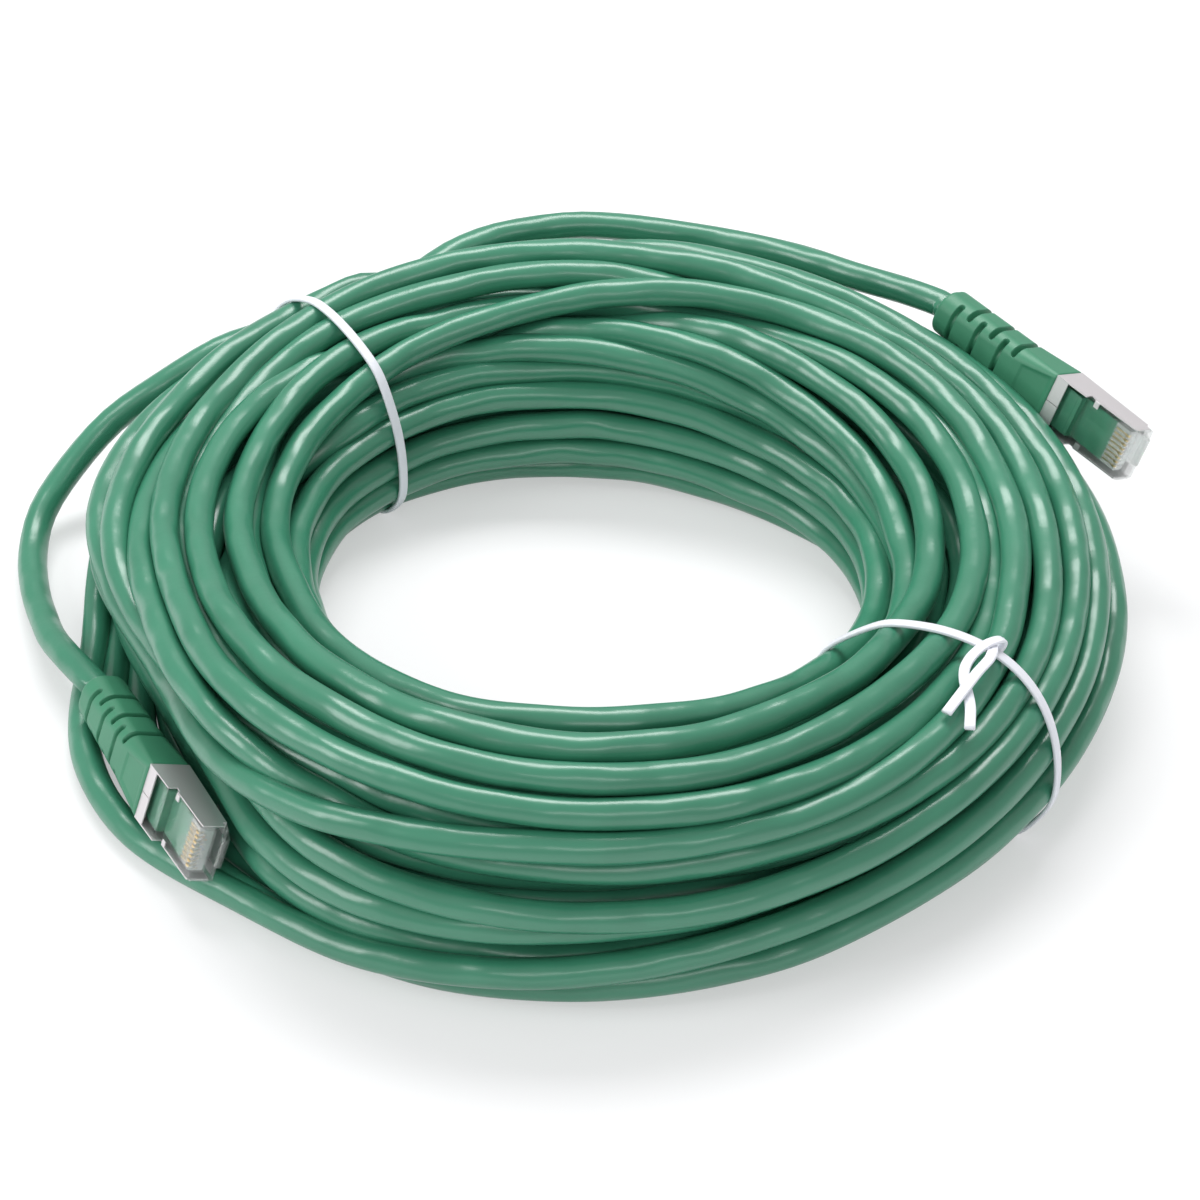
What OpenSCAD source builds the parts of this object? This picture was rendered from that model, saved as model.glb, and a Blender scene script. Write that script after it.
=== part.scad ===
// Shielded ethernet patch cable: a coil held by two ties, with a moulded 8P8C plug on each end.
// Millimetres, +Z up. The origin is on the floor at the middle of the coil.
// Each plug is drawn in its own frame: +X runs from the boot to the nose, +Z is the contact side,
// and X = 0 is the edge between boot and shield.

/* [Cable] */
// Outside diameter of the jacket
cable_d = 5.8; // [5.6:0.1:6.2]
// Wall of the jacket
jacket_wall = 0.4; // [0.3:0.05:0.45]
// Wall of the braid
braid_wall = 0.15; // [0.1:0.01:0.2]
// Wall of the foil round one wire pair
foil_wall = 0.06; // [0.05:0.01:0.1]
// Outside diameter of one insulated wire
wire_d = 0.86; // [0.7:0.02:0.88]

/* [Coil] */
// Inner radius of the coil
coil_inner_r = 56.5; // [50:0.5:62]
// Outer radius of the coil
coil_outer_r = 103; // [100:0.5:108]
// Height of the coil
coil_h = 44; // [40:0.5:50]
// Share of the height at which the coil is widest
coil_waist = 0.35; // [0.3:0.01:0.45]
// Depth of the furrow between two turns on the outside
furrow = 1.2; // [0.8:0.1:1.6]

/* [Ties] */
// Width of the tie strip
tie_w = 1.8; // [1.2:0.1:2.5]
// Thickness of the tie strip
tie_t = 1; // [0.6:0.1:1.2]
// Bearing of the left tie round the coil
tie_left_bearing = 130; // [120:1:140]
// Bearing of the right tie round the coil
tie_right_bearing = -33; // [-45:1:-20]
// Radius at which the knot lies on the coil
knot_r = 88; // [84:1:92]
// Length of the knot along the strip
knot_len = 5; // [4:0.5:7]

/* [Plug] */
// Width over the shield
plug_w = 11.68; // [11.5:0.02:11.8]
// Height at the boot
plug_h = 7.9; // [7.6:0.1:8.2]
// Visible length from the boot to the nose
plug_len = 21.2; // [20.5:0.1:22]
// Height at the nose
nose_h = 5.2; // [5:0.1:5.5]
// Length of the tall rear part, ahead of the step
rear_len = 8; // [7.6:0.1:8.4]
// Thickness of the shield's sheet
shield_t = 0.25; // [0.2:0.01:0.3]
// Length of the shield's band across the contact side
band_len = 3; // [2.5:0.1:3.5]
// How far the clear nose stands ahead of the shield
nose_lead = 0.6; // [0.4:0.1:1]
// Assembly clearance inside the plug
fit_gap = 0.04; // [0.02:0.01:0.06]

/* [Contacts] */
// Spacing of the contacts
contact_pitch = 1.02; // [0.98:0.01:1.04]
// Thickness of a contact blade
contact_t = 0.35; // [0.3:0.01:0.4]
// Length of a contact blade
contact_len = 3.6; // [3:0.1:3.8]
// Width of a contact slot
slot_w = 0.5; // [0.45:0.01:0.55]

/* [Latch] */
// Width of the latch's lever
lever_w = 3.25; // [3:0.05:3.5]
// Width of the latch's shoulders
shoulder_w = 6; // [5.8:0.1:6.3]
// Length of the latch behind its root
lever_len = 14.2; // [12:0.1:15]
// Thickness of the lever
lever_t = 0.9; // [0.8:0.05:1]
// Angle at which the lever stands off at rest
lever_angle = 16; // [14:0.5:18]
// Radius of the bending root
root_r = 0.8; // [0.7:0.05:0.9]

/* [Boot] */
// Length of the boot
boot_len = 33.5; // [31:0.5:36]
// Width of the boot at the shield
boot_w = 12; // [11.9:0.1:12.4]
// Height of the boot at the shield
boot_h = 8.5; // [8.3:0.1:9]
// Width of the boot at its tail
tail_w = 9.8; // [9:0.1:10.5]
// Height of the boot at its tail
tail_h = 9.4; // [9:0.1:10]
// Spacing of the flex slots along one face
slot_pitch = 6.8; // [6.4:0.1:7]
// Width of a flex slot
flex_w = 1.4; // [1:0.1:1.6]
// Depth of a flex slot
flex_depth = 1.1; // [0.8:0.1:1.3]

/* [Crimp barrel] */
// Outer diameter of the barrel
barrel_d = 7; // [6.9:0.05:7.2]
// Length of the barrel
barrel_len = 7.5; // [6:0.1:8]

/* [Hidden] */

jacket_green = "#2f8f63";
boot_green = "#3f9a70";
eps = 0.01;

// Cable core
jacket_bore_d = cable_d - 2*jacket_wall;
braid_d = jacket_bore_d - 2*fit_gap;
braid_bore_d = braid_d - 2*braid_wall;
foil_d = (braid_bore_d - 2*fit_gap)/(1 + sqrt(2));
foil_bore_d = foil_d - 2*foil_wall;
jacket_end = -2.2;
barrel_bore_d = barrel_d - 2*shield_t;
fold_d = barrel_bore_d - 2*fit_gap;
fold_len = barrel_len + 1 + jacket_end - 0.2;

// Plug: heights over the plug's middle plane
side_z = plug_h/2;
rear_drop = 0.55;
rear_top_z = side_z - rear_drop;
nose_z = nose_h - side_z;
step_z = nose_z + 0.8;
skin = shield_t + fit_gap;
housing_w = plug_w - 2*skin;
housing_back = 0.7;
shield_front = plug_len - nose_lead;

// Contact row
contact_count = 8;
row_w = (contact_count - 1)*contact_pitch;
contact_front = plug_len - 1.5;
contact_back = contact_front - contact_len;
contact_sink = 0.35;
wire_z = -0.55;
wire_front = contact_front - 0.6;

// Cavity of the housing
cavity_w = 9.1;
cavity_top = 0.9;
cavity_bottom = -2;
rear_cavity_top = rear_top_z - 0.85;
rear_cavity_bottom = -side_z + 1;
cavity_front = contact_front - 0.3;
bar_len = contact_len + 0.1;
bar_back = cavity_front - fit_gap - bar_len;

// Latch
root_x = plug_len - 1;
root_z = -side_z - 0.3;
root_gap = 0.05;
cutout_w = shoulder_w + 0.8;

// Boot
strap_w = 3;
boot_mid_x = -11;
boot_mid_w = 10.6;
boot_mid_h = 9.3;
first_slot_x = -11.5;
flex_count = 3;

// Coil section
coil_mid_r = (coil_inner_r + coil_outer_r)/2;
coil_half_w = (coil_outer_r - coil_inner_r)/2;
waist_z = coil_h*coil_waist;
base_w = coil_half_w*1.5;
tie_gap = 0.3;
tie_seat = tie_gap + tie_t + 0.1;
knot_d = tie_w*1.7;
knot_slope = 14;

// Where the plugs lie on the coil: [bearing, radius, height] of the boot's edge, and the plug's turn
plug_a_bearing = 214;
plug_a_r = coil_outer_r - 8.6;
plug_a_at = [plug_a_r*cos(plug_a_bearing), plug_a_r*sin(plug_a_bearing), 11.8];
plug_a_turn = [68, -3.3, -64.3];
plug_b_bearing = 23.2;
plug_b_r = coil_outer_r + 2.2;
plug_b_at = [plug_b_r*cos(plug_b_bearing), plug_b_r*sin(plug_b_bearing), coil_h - 9.6];
plug_b_turn = [70, 7, -52.5];

// Routes of the two free stretches, from the coil to just short of the boots. Each point is a bearing,
// how far it lies outside the coil's outer radius, and its share of the coil's height.
lead_a_route = [[132.9, -5.4, 0.705], [138.8, -2, 0.682], [145.3, 4.1, 0.568],
    [149.9, 10.8, 0.432], [154.7, 15.3, 0.273], [159.5, 17.1, 0.148], [164.7, 14.7, 0.08],
    [170.3, 10.1, 0.075], [176.3, 5.2, 0.114], [182.2, 1.1, 0.17]];
lead_b_route = [[114.3, -10.8, 0.795], [107.1, -7.8, 0.864], [100.6, -5.3, 0.898],
    [92.3, -2.9, 0.898], [85.4, -2.2, 0.886], [78.5, -2.5, 0.875], [70.7, -3.4, 0.875],
    [62.4, -3.7, 0.875], [54.9, -4, 0.875], [48.1, -2.3, 0.884]];

// ---------- Points and curves ----------

function turn_x(a, p) = [p.x, p.y*cos(a) - p.z*sin(a), p.y*sin(a) + p.z*cos(a)];
function turn_y(a, p) = [p.x*cos(a) + p.z*sin(a), p.y, -p.x*sin(a) + p.z*cos(a)];
function turn_z(a, p) = [p.x*cos(a) - p.y*sin(a), p.x*sin(a) + p.y*cos(a), p.z];
// A point of the plug's frame, in the frame of the whole cable
function plug_point(at, turn, p) = at + turn_z(turn.z, turn_y(turn.y, turn_x(turn.x, p)));

function power(v, e) = sign(v)*pow(abs(v), e);
// Outline of the coil's section as [radius, height]: flat below, domed above, moved in by inset
function loaf(inset, steps = 72) = [for (i = [0 : steps - 1])
    let (a = i*360/steps, c = cos(a), s = sin(a), n = s > 0 ? 2.3 : 5)
    [coil_mid_r + (coil_half_w - inset)*power(c, 2/n),
     waist_z + (s > 0 ? coil_h - waist_z - inset : waist_z - inset)*power(s, 2/n)]];

// Running length round a closed outline, and the point at a share of it
function run(p, i = 0, sum = 0) = i > len(p) ? [] :
    concat([sum], run(p, i + 1, sum + norm(p[(i + 1) % len(p)] - p[i % len(p)])));
function at_run(p, r, s) = let (i = max([for (k = [0 : len(p) - 1]) r[k] <= s ? k : 0]),
    t = (s - r[i])/(r[i + 1] - r[i])) p[i]*(1 - t) + p[(i + 1) % len(p)]*t;

// Smooth curve through a route's points, with a few points between each two
function blend3(a, b, c, d, t) =
    0.5*(2*b + (c - a)*t + (2*a - 5*b + 4*c - d)*t*t + (3*b - a - 3*c + d)*t*t*t);
function smooth_route(p, k = 2) = concat([for (i = [0 : len(p) - 2]) for (j = [0 : k - 1])
    blend3(p[max(i - 1, 0)], p[i], p[i + 1], p[min(i + 2, len(p) - 1)], j/k)], [p[len(p) - 1]]);
function unit(v) = v/norm(v);

// Tube along a route, its rings square to the route and upright
module tube(p, d, sides = 10) {
    n = len(p);
    dirs = [for (i = [0 : n - 1]) unit(p[min(i + 1, n - 1)] - p[max(i - 1, 0)])];
    rings = [for (i = [0 : n - 1]) let (across = unit(cross(dirs[i], [0, 0, 1])), up = cross(across, dirs[i]))
        for (k = [0 : sides - 1]) p[i] + d/2*(cos(k*360/sides)*across + sin(k*360/sides)*up)];
    walls = [for (i = [0 : n - 2]) for (k = [0 : sides - 1])
        let (a = i*sides + k, b = i*sides + (k + 1) % sides)
        each [[a, b, a + sides], [b, b + sides, a + sides]]];
    ends = [[for (k = [sides - 1 : -1 : 0]) k], [for (k = [0 : sides - 1]) (n - 1)*sides + k]];
    polyhedron(rings, concat(walls, ends), convexity = 6);
}

module place_a() { translate(plug_a_at) rotate(plug_a_turn) children(); }
module place_b() { translate(plug_b_at) rotate(plug_b_turn) children(); }

// A slab across the width of the plug, from its side outline
module side_slab(w) { translate([0, w/2, 0]) rotate([90, 0, 0]) linear_extrude(w) children(); }
// A box given by its lowest and highest corners
module span(low, high) { translate(low) cube(high - low); }

// ---------- Coil, free stretches and ties ----------

// The turns on the outside of the bundle, evenly spaced round its outline
module coil_section() {
    line = loaf(cable_d/2);
    lengths = run(line);
    turns = floor(lengths[len(line)]/cable_d);
    polygon(loaf(furrow));
    for (i = [0 : turns - 1]) translate(at_run(line, lengths, i*lengths[len(line)]/turns))
        circle(d = cable_d, $fn = 48);
    translate([coil_mid_r - base_w/2, 0]) square([base_w, cable_d/2]);
}

// Everything outside the seat of a tie, as a thin slice of the coil
module tie_channel(bearing) {
    w = tie_w + 0.6;
    rotate([90, 0, bearing]) translate([0, 0, -w/2]) linear_extrude(w) difference() {
        translate([coil_inner_r - 5, -5]) square([2*coil_half_w + 10, coil_h + 10]);
        polygon(loaf(tie_seat));
    }
}

// The room the plugs and boots take on the coil. Plug A lies on a ledge with its latch towards the coil,
// plug B on the shoulder with its latch away from it.
module room_a() {
    latch_room = side_z + lever_len*sin(lever_angle) + 1.2;
    span([-coil_inner_r - 30, -boot_w/2 - 0.3, -latch_room], [coil_inner_r + 30, coil_h + 20, 60]);
}
module room_b() { span([-boot_len - 2, -boot_w/2 - 0.4, -60], [plug_len + 3, coil_h, tail_h/2 + 0.4]); }

module cable_coil() color(jacket_green) difference() {
    rotate_extrude($fn = 180) coil_section();
    tie_channel(tie_left_bearing);
    tie_channel(tie_right_bearing);
    place_a() room_a();
    place_b() room_b();
}

function beside_coil(p) =
    [(coil_outer_r + p.y)*cos(p.x), (coil_outer_r + p.y)*sin(p.x), max(coil_h*p.z, cable_d/2)];
function lead_points(route, at, turn) = smooth_route(concat([for (p = route) beside_coil(p)],
    [for (x = [cable_d/2, cable_d/5, fit_gap/2]) plug_point(at, turn, [-boot_len - x, 0, 0])]));
module cable_lead_a() color(jacket_green) tube(lead_points(lead_a_route, plug_a_at, plug_a_turn), cable_d);
module cable_lead_b() color(jacket_green) tube(lead_points(lead_b_route, plug_b_at, plug_b_turn), cable_d);

module tie_strip(bearing) rotate([90, 0, bearing]) translate([0, 0, -tie_w/2])
    linear_extrude(tie_w) difference() {
        polygon(loaf(tie_gap));
        polygon(loaf(tie_gap + tie_t));
    }
module tie_left() color("white") tie_strip(tie_left_bearing);

// One tail of the knot: a strip that leaves level and then droops
module tail(heading, droop, length) rotate([0, 0, heading]) rotate([90, 0, 0]) translate([0, 0, -tie_w/2])
    linear_extrude(tie_w) {
        square([length*0.4, tie_t*0.8]);
        translate([length*0.4 - 0.2, 0]) rotate(-droop) square([length*0.6, tie_t*0.8]);
    }
module tie_right() color("white") {
    tie_strip(tie_right_bearing);
    knot_c = (knot_r - coil_mid_r)/(coil_half_w - tie_gap);
    knot_z = waist_z + (coil_h - waist_z - tie_gap)*pow(1 - pow(abs(knot_c), 2.3), 1/2.3);
    rotate([0, 0, tie_right_bearing]) translate([knot_r, 0, knot_z]) {
        rotate([0, knot_slope, 0]) {
            translate([-knot_len/2 + 0.5, -tie_w/2, -tie_t/2]) cube([knot_len - 1, tie_w, knot_d/2 + tie_t]);
            translate([0, 0, knot_d/2 + 0.6]) rotate([0, 90, 0])
                cylinder(d = knot_d, h = knot_len, center = true, $fn = 24);
        }
        translate([-0.8, 0, 1.9]) rotate([0, 0, -tie_right_bearing]) {
            tail(-121, 10, 17);
            tail(-103, 20, 15);
        }
    }
}

// ---------- Boot, with the cable's end inside it ----------

module rounded_plate(w, h, r, t = 0.1) rotate([90, 0, 90]) linear_extrude(t)
    offset(r, $fn = 32) square([w - 2*r, h - 2*r], center = true);

// A curved pocket cut round one face of the boot, with a round end
module flex_slot() {
    reach = 43;
    inner_r = tail_w/2 - flex_depth;
    rotate([0, 90, 0]) rotate([0, 0, -reach]) translate([0, 0, -flex_w/2])
        rotate_extrude(angle = 2*reach, $fn = 64) translate([inner_r, 0]) square([3, flex_w]);
    for (a = [-reach, reach]) rotate([a, 0, 0]) translate([0, 0, -inner_r - 3])
        cylinder(d = flex_w, h = 3, $fn = 24);
}

module boot() color(boot_green) difference() {
    union() {
        hull() {
            translate([-0.1, 0, 0]) rounded_plate(boot_w, boot_h, 1);
            translate([boot_mid_x, 0, 0]) rounded_plate(boot_mid_w, boot_mid_h, 2.8);
        }
        hull() {
            translate([boot_mid_x, 0, 0]) rounded_plate(boot_mid_w, boot_mid_h, 2.8);
            translate([0.6 - boot_len, 0, 0]) rounded_plate(tail_w, tail_h, 4);
        }
        hull() {
            translate([0.6 - boot_len, 0, 0]) rounded_plate(tail_w, tail_h, 4);
            translate([-boot_len, 0, 0]) rounded_plate(tail_w - 1.2, tail_h - 1.2, 3.8);
        }
    }
    // bore for the cable, seat of the crimp barrel and of its strap
    translate([-boot_len - 1, 0, 0]) rotate([0, 90, 0])
        cylinder(d = cable_d + 2*fit_gap, h = boot_len + 2, $fn = 48);
    translate([-1 - barrel_len - fit_gap, 0, 0]) rotate([0, 90, 0])
        cylinder(d = barrel_d + 2*fit_gap, h = barrel_len + 3, $fn = 48);
    side_slab(strap_w + 2*fit_gap) polygon(concat(strap_outline(fit_gap), [[1, 0], [1, -side_z - fit_gap]]));
    // flex slots on the four faces, staggered by half a pitch
    for (i = [0 : flex_count - 1]) for (a = [0 : 90 : 270]) {
        stagger = a % 180 == 0 ? 0.5 : 0;
        translate([first_slot_x - (i + stagger)*slot_pitch, 0, 0]) rotate([a, 0, 0]) flex_slot();
    }
    // shallow panel on the contact side
    translate([0, 0, boot_h/2 - 0.3]) linear_extrude(1)
        polygon([[-8.6, -2.9], [-1, -4.5], [-1, 4.5], [-8.6, 2.9]]);
}

// Four pair centres, in a square that fits the braid
pair_centres = [for (a = [45, 135, 225, 315]) foil_d/sqrt(2)*[cos(a), sin(a)]];
module along_cable(length, end) translate([end - length, 0, 0]) rotate([90, 0, 90])
    linear_extrude(length) children();
module ring(d, bore) difference() {
    circle(d = d, $fn = 48);
    circle(d = bore, $fn = 48);
}
module cable_end() color(jacket_green) along_cable(boot_len + jacket_end, jacket_end)
    ring(cable_d, jacket_bore_d);
module braid() color("#b0764a") {
    along_cable(boot_len + jacket_end + 0.4, jacket_end + 0.4) ring(braid_d, braid_bore_d);
    along_cable(0.4 - fit_gap, jacket_end + 0.4) ring(fold_d, braid_d - eps);
    along_cable(fold_len, jacket_end + fit_gap + eps) ring(fold_d, cable_d + 2*fit_gap);
}
module pair_foils() color("silver") for (c = pair_centres)
    along_cable(boot_len - 2, -2) translate(c) ring(foil_d, foil_bore_d);

// One wire: straight in the cable, fanned out to its place in the row, straight under its contact
module wire(pin, pair, side) {
    c = pair_centres[pair];
    row_y = (4.5 - pin)*contact_pitch;
    cable_y = c.x + side*(wire_d/2 + 0.01);
    tube([[-boot_len, cable_y, c.y], [-1.8, cable_y, c.y], [-0.8, cable_y, c.y], [rear_len - 5, row_y, c.y],
        [rear_len - 4.4, row_y, c.y], [rear_len - 2.3, row_y, wire_z], [rear_len - 1.6, row_y, wire_z],
        [wire_front, row_y, wire_z]], wire_d, 8);
}
module pair_orange() color("orange") { wire(1, 0, 1); wire(2, 0, -1); }
module pair_green() color("green") { wire(3, 3, 1); wire(6, 3, -1); }
module pair_blue() color("blue") { wire(4, 1, 1); wire(5, 1, -1); }
module pair_brown() color("saddlebrown") { wire(7, 2, 1); wire(8, 2, -1); }

// ---------- Plug ----------

// Side outline of the plug: tall at the boot, a step, then a slope down to the nose
function side_outline(back, front, skin_in) = [
    [back, -side_z + skin_in], [front, -side_z + skin_in], [front, nose_z - skin_in/2],
    [front - 0.4, nose_z + 0.1 - skin_in/2], [rear_len + 0.6, step_z - skin_in/2],
    [rear_len, rear_top_z - skin_in], [back, side_z - skin_in - rear_drop*back/rear_len]];

// Side outline of the strap that steps up from the shield's floor to the crimp barrel
function strap_outline(g) = [[0.2, -side_z - g], [-0.7 - g, -side_z - g], [-1.3 - g, -barrel_d/2 - g],
    [-3, -barrel_d/2 - g], [-3, -barrel_d/2 + shield_t], [-1.2, -barrel_d/2 + shield_t],
    [-0.6, -side_z + shield_t + g], [0.2, -side_z + shield_t + g]];

module shield() color("gainsboro") {
    difference() {
        union() {
            side_slab(plug_w) polygon(side_outline(0, shield_front, 0));
            // strap to the crimp barrel
            side_slab(strap_w) polygon(strap_outline(0));
        }
        // the inside
        side_slab(plug_w - 2*shield_t) polygon(side_outline(-1, plug_len, shield_t));
        // window on the contact side and the open front
        span([band_len, -plug_w/2 + shield_t, 0], [plug_len, plug_w/2 - shield_t, side_z + 1]);
        // seam of the band
        span([-1, -0.06, 2], [band_len + 1, 0.06, side_z + 1]);
        // opening for the latch
        span([3.5, -cutout_w/2, -side_z - 1], [plug_len, cutout_w/2, -side_z + 1]);
        // notches in the side walls: at the step and at the front corner
        span([rear_len, -plug_w, step_z - 0.5], [rear_len + 1.3, plug_w, side_z]);
        span([shield_front - 1.3, -plug_w, -side_z - 1], [plug_len, plug_w, -side_z + 0.9]);
    }
    // tabs folded in over the housing beside the window
    for (s = [-1, 1]) translate([rear_len + 1.5, s*(plug_w/2 - shield_t - 0.6), 0])
        translate([0, -0.65, step_z - 0.12]) rotate([0, 4, 0]) cube([1.2, 1.3, shield_t]);
    // crimp barrel
    along_cable(barrel_len, -1) ring(barrel_d, barrel_bore_d);
}

module housing() color("white", 0.35) difference() {
    union() {
        side_slab(housing_w) polygon(side_outline(housing_back, plug_len, skin));
        // the full-width nose ahead of the shield
        side_slab(plug_w - 0.1) polygon([[shield_front + fit_gap, -side_z + 0.9],
            [shield_front + fit_gap, nose_z], [plug_len - 0.3, nose_z - 0.1], [plug_len, nose_z - 0.5],
            [plug_len, -side_z + 1.2], [plug_len - 0.3, -side_z + 0.9]]);
    }
    // cavity: tall at the rear, flat under the window
    span([0, -cavity_w/2, rear_cavity_bottom], [rear_len - 1.2, cavity_w/2, rear_cavity_top]);
    span([0, -cavity_w/2, cavity_bottom], [cavity_front, cavity_w/2, cavity_top]);
    // recess and groove of the cable clamp
    span([band_len + 0.4, -4.4, side_z - 0.9], [band_len + 3.2, 4.4, side_z + 1]);
    side_slab(9.6) polygon([[band_len + 3.3, side_z + 1], [band_len + 3.6, side_z - 1.1],
        [rear_len - 0.8, side_z - 1.2], [rear_len + 0.2, side_z + 1]]);
    // slots of the contacts
    for (i = [0 : contact_count - 1]) translate([0, i*contact_pitch - row_w/2, 0])
        span([contact_back - 0.2, -slot_w/2, cavity_top - 1], [contact_front + 0.2, slot_w/2, side_z]);
    // seat of the latch's root
    translate([root_x, 0, root_z]) rotate([90, 0, 0])
        cylinder(r = root_r + root_gap, h = shoulder_w + 0.4, center = true, $fn = 48);
}

module contacts() color("gold") for (i = [0 : contact_count - 1]) translate([0, i*contact_pitch - row_w/2, 0])
    side_slab(contact_t) {
        foot_z = wire_z + wire_d/2 + 0.03;
        crown_z = nose_z + 0.35 - contact_sink;
        polygon([[contact_back, foot_z], [contact_front - 0.5, foot_z], [contact_front - 0.5, crown_z - 1],
            [contact_front, crown_z - 0.6], [contact_back, crown_z]]);
        translate([contact_front - 0.6, crown_z - 0.35]) circle(r = 0.55, $fn = 32);
    }

module load_bar() color("ivory") difference() {
    span([bar_back, -cavity_w/2 + fit_gap, cavity_bottom + fit_gap],
        [bar_back + bar_len, cavity_w/2 - fit_gap, cavity_top - fit_gap]);
    for (i = [0 : contact_count - 1]) translate([0, i*contact_pitch - row_w/2, 0]) {
        translate([bar_back - 1, 0, wire_z]) rotate([0, 90, 0])
            cylinder(d = wire_d + 2*fit_gap, h = wire_front + 0.1 - bar_back + 1, $fn = 24);
        span([contact_back - 0.15, -slot_w/2 + 0.02, wire_z], [plug_len, slot_w/2 - 0.02, side_z]);
    }
}

// The overmoulding's front, which fills the housing round the wires
module inner_mould() color(boot_green) difference() {
    w = cavity_w - 2*fit_gap;
    union() {
        span([housing_back, -w/2, rear_cavity_bottom + fit_gap],
            [rear_len - 1.2 - fit_gap, w/2, rear_cavity_top - fit_gap]);
        span([housing_back, -w/2, cavity_bottom + fit_gap], [bar_back - fit_gap, w/2, cavity_top - fit_gap]);
    }
    duct_h = wire_d/2 + 0.08;
    span([0, -row_w/2 - duct_h, -foil_d - 0.3], [rear_len - 1.8, row_w/2 + duct_h, foil_d + 0.3]);
    span([0, -row_w/2 - duct_h, wire_z - duct_h], [plug_len, row_w/2 + duct_h, wire_z + duct_h]);
}

// The latch at rest: root in its seat, shoulders, and a lever that leans away to the rear
module latch() color("white", 0.4) translate([root_x, 0, root_z]) {
    rotate([90, 0, 0]) cylinder(r = root_r, h = shoulder_w, center = true, $fn = 48);
    rotate([0, -lever_angle, 0]) {
        side_slab(shoulder_w) polygon([[0, lever_t/2], [-5.6, lever_t/2], [-5.6, -lever_t/2 - 0.3],
            [-2.2, -lever_t/2 - 0.3], [0, -root_r + 0.05]]);
        side_slab(lever_w) polygon([[0, lever_t/2], [-lever_len, lever_t/2], [-lever_len, -lever_t/2 + 0.3],
            [-lever_len + 0.4, -lever_t/2], [-5, -lever_t/2]]);
    }
}

cable_coil();
cable_lead_a();
cable_lead_b();
tie_left();
tie_right();
place_a() boot();  // boot_a
place_a() shield();  // shield_a
place_a() housing();  // housing_a
place_a() latch();  // latch_a
place_a() contacts();  // contacts_a
place_a() load_bar();  // load_bar_a
place_a() inner_mould();  // inner_mould_a
place_a() pair_blue();  // pair_blue_a
place_a() pair_orange();  // pair_orange_a
place_a() pair_green();  // pair_green_a
place_a() pair_brown();  // pair_brown_a
place_a() pair_foils();  // pair_foils_a
place_a() braid();  // braid_a
place_a() cable_end();  // cable_end_a
place_b() boot();  // boot_b
place_b() shield();  // shield_b
place_b() housing();  // housing_b
place_b() latch();  // latch_b
place_b() contacts();  // contacts_b
place_b() load_bar();  // load_bar_b
place_b() inner_mould();  // inner_mould_b
place_b() pair_blue();  // pair_blue_b
place_b() pair_orange();  // pair_orange_b
place_b() pair_green();  // pair_green_b
place_b() pair_brown();  // pair_brown_b
place_b() pair_foils();  // pair_foils_b
place_b() braid();  // braid_b
place_b() cable_end();  // cable_end_b
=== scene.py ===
import bpy
import numpy as np
from mathutils import Euler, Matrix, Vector


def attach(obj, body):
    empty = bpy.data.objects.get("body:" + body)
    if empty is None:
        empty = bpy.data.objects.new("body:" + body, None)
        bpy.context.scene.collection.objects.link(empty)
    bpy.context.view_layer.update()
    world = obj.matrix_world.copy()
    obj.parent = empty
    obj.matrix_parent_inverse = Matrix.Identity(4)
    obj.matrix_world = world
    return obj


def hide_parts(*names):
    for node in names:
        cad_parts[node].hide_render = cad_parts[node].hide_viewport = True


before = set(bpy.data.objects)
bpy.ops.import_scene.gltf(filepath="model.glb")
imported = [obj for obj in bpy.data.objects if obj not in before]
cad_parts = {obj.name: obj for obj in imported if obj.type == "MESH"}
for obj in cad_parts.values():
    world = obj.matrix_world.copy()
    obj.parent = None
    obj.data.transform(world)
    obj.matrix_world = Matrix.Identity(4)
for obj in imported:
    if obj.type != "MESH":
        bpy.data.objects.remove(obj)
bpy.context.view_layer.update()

# ---------------------------------------------------------------- camera
# A long lens, 690 mm from the coil's middle, that looks 38 degrees down at it
# from the front.
MM = 0.001
camera = bpy.data.objects.new("camera", bpy.data.cameras.new("camera"))
camera.data.sensor_width = 36
camera.data.lens = 103.23
camera.data.clip_end = 20
camera.location = Vector((-0.4, -535.2, 430.7)) * MM
look_at = Vector((3.4, 19.5, 0)) * MM
camera.rotation_mode = "QUATERNION"
camera.rotation_quaternion = (look_at - camera.location).to_track_quat("-Z", "Y")
bpy.context.scene.collection.objects.link(camera)
bpy.context.scene.camera = camera

# ---------------------------------------------------------------- cable
# One round data cable, 20 m long: four foiled pairs in a braid, with a PVC
# jacket extruded over them. It is wound by hand into a coil of some 39 turns
# that cross each other, and both its ends run out of the coil into their boots.
CABLE_D = 5.8
STATION_STEP = 5            # degrees between two stations round the coil
STATIONS = 360 // STATION_STEP
TURNS = 39
SLOT_BEARING = 200          # each turn starts and ends in its place here
FLOOR_ROW = CABLE_D / 2     # height of a cable's centre on the floor
TOUCH = 2.0                 # depth of a cable's centre below the bundle's outline

# the free ends, each from the coil to its boot
lead_a = np.array([
    (-66.5, 71.5, 31), (-76, 66.5, 30), (-88, 61, 25), (-98.5, 57, 19), (-107, 50.5, 12),
    (-112.5, 42, 6.5), (-113.5, 31, 3.5), (-111.5, 19, 3.3), (-108, 7, 5), (-104, -4, 7.5),
    (-94.02, -20.03, 9.69), (-93.27, -21.59, 9.79), (-92.77, -22.65, 9.86)])
lead_b = np.array([
    (-38, 84, 35), (-28, 91, 38), (-18, 96, 39.5), (-4, 100, 39.5), (8, 100.5, 39),
    (20, 98.5, 38.5), (33, 94, 38.5), (46, 88, 38.5), (57, 81, 38.5), (67.3, 74.9, 38.9),
    (74.71, 70.09, 38.84), (75.76, 68.71, 38.63), (76.45, 67.82, 38.49)])


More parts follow.
